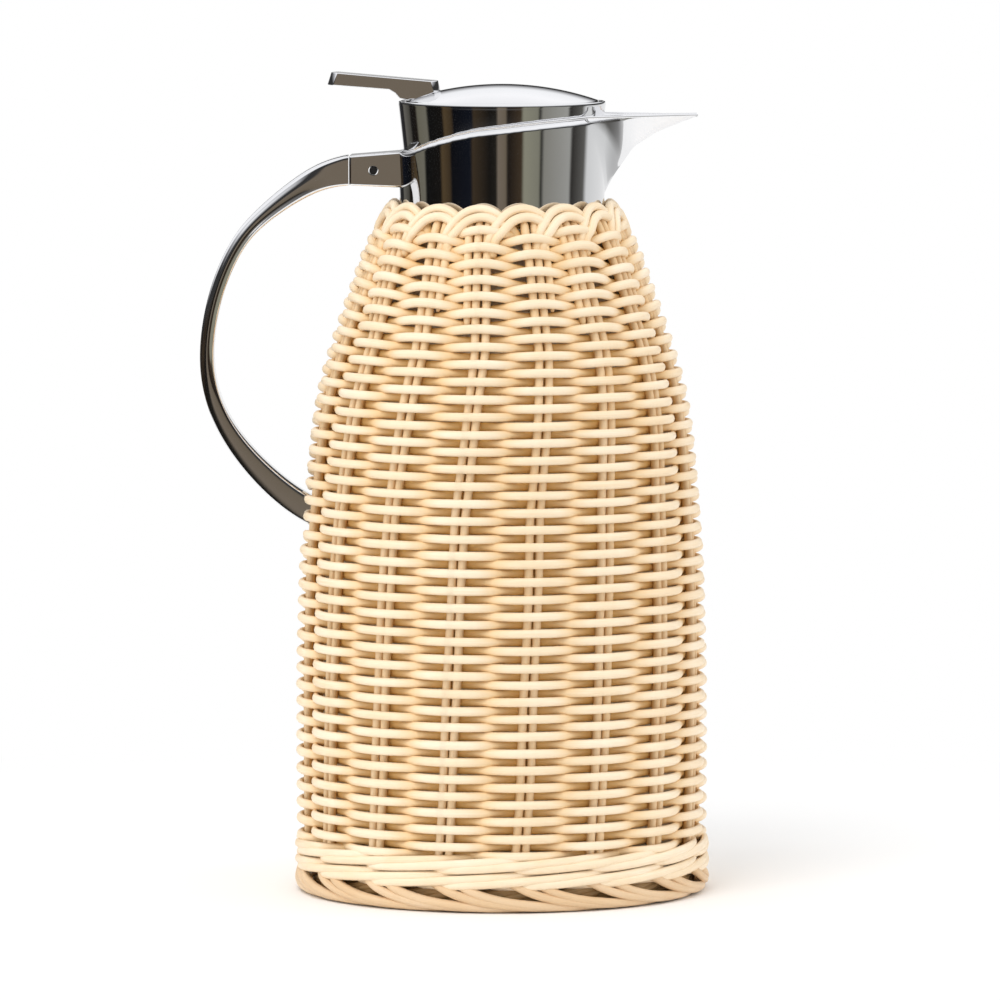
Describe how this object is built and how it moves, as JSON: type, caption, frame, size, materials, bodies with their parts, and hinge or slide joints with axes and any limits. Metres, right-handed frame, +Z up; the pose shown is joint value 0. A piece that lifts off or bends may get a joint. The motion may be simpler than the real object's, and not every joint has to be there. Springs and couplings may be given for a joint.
{
  "type": "vacuum jug",
  "caption": "Wicker-covered vacuum jug with a glass liner, chromed pouring collar, strap handle and a screw-in stopper whose thumb lever opens the pouring valve.",
  "frame": {"origin": "centre of the base's flat underside, on the surface the jug stands on and on the jug's axis", "axes": "+Z up along the jug's axis, +X towards the spout, -X towards the handle"},
  "size_m": [0.2017, 0.1624, 0.3232],
  "materials": {
    "wicker": "satin",
    "chrome": "polished",
    "casing_plastic": "satin",
    "dark_plastic": "satin",
    "silvered_glass": "polished",
    "rubber": "matte",
    "steel": "satin",
    "dark_steel": "satin"
  },
  "bodies": {
    "jug": {"casing": "casing_plastic", "base_cap": "dark_plastic", "liner_cushion": "rubber", "glass_liner": "silvered_glass", "liner_gasket": "rubber", "neck_insert": "dark_plastic", "collar": "chrome", "handle": "chrome", "handle_pin": "dark_steel", "handle_plate": "steel", "handle_screw": "dark_steel", "collar_screw_1": "steel", "collar_screw_2": "steel", "collar_screw_3": "steel", "wicker_foot": "wicker", "wicker_wale": "wicker", "wicker_side": "wicker", "wicker_rim": "wicker"},
    "gasket": {"stopper_gasket": "rubber"},
    "stopper": {"stopper_cap": "chrome", "cap_core": "dark_plastic", "stopper_plug": "dark_plastic", "cap_screw_1": "steel", "cap_screw_2": "steel", "cap_screw_3": "steel", "return_spring": "steel", "hinge_pin": "steel"},
    "lid": {"lid_dome": "chrome", "thumb_lever": "chrome", "lid_liner": "dark_plastic", "lever_screw_1": "steel", "lever_screw_2": "steel"},
    "valve": {"valve_stem": "steel", "stem_pin": "dark_steel", "valve_disc": "dark_plastic", "valve_seal": "rubber", "valve_clip": "dark_steel"}
  },
  "joints": [
    {"name": "stopper_lift", "type": "slide", "parent": "jug", "child": "gasket", "axis": [0, 0, 1], "range_m": [0, 0.075]},
    {"name": "stopper_turn", "type": "hinge", "parent": "gasket", "child": "stopper", "pos_m": [0, 0, 0.27], "axis": [0, 0, 1], "range_deg": [0, 90]},
    {"name": "lid_press", "type": "hinge", "parent": "stopper", "child": "lid", "pos_m": [-0.0345, 0, 0.3075], "axis": [0, -1, 0], "range_deg": [0, 8], "stiffness_Nm_per_rad": 1.2, "springref_deg": -8.59},
    {"name": "valve_lift", "type": "slide", "parent": "stopper", "child": "valve", "axis": [0, 0, 1], "range_m": [0, 0.005], "deforming": ["return_spring"]}
  ],
  "couplings": [
    {"joint": "valve_lift", "follows": "lid_press", "m_per_rad": 0.0345}
  ]
}
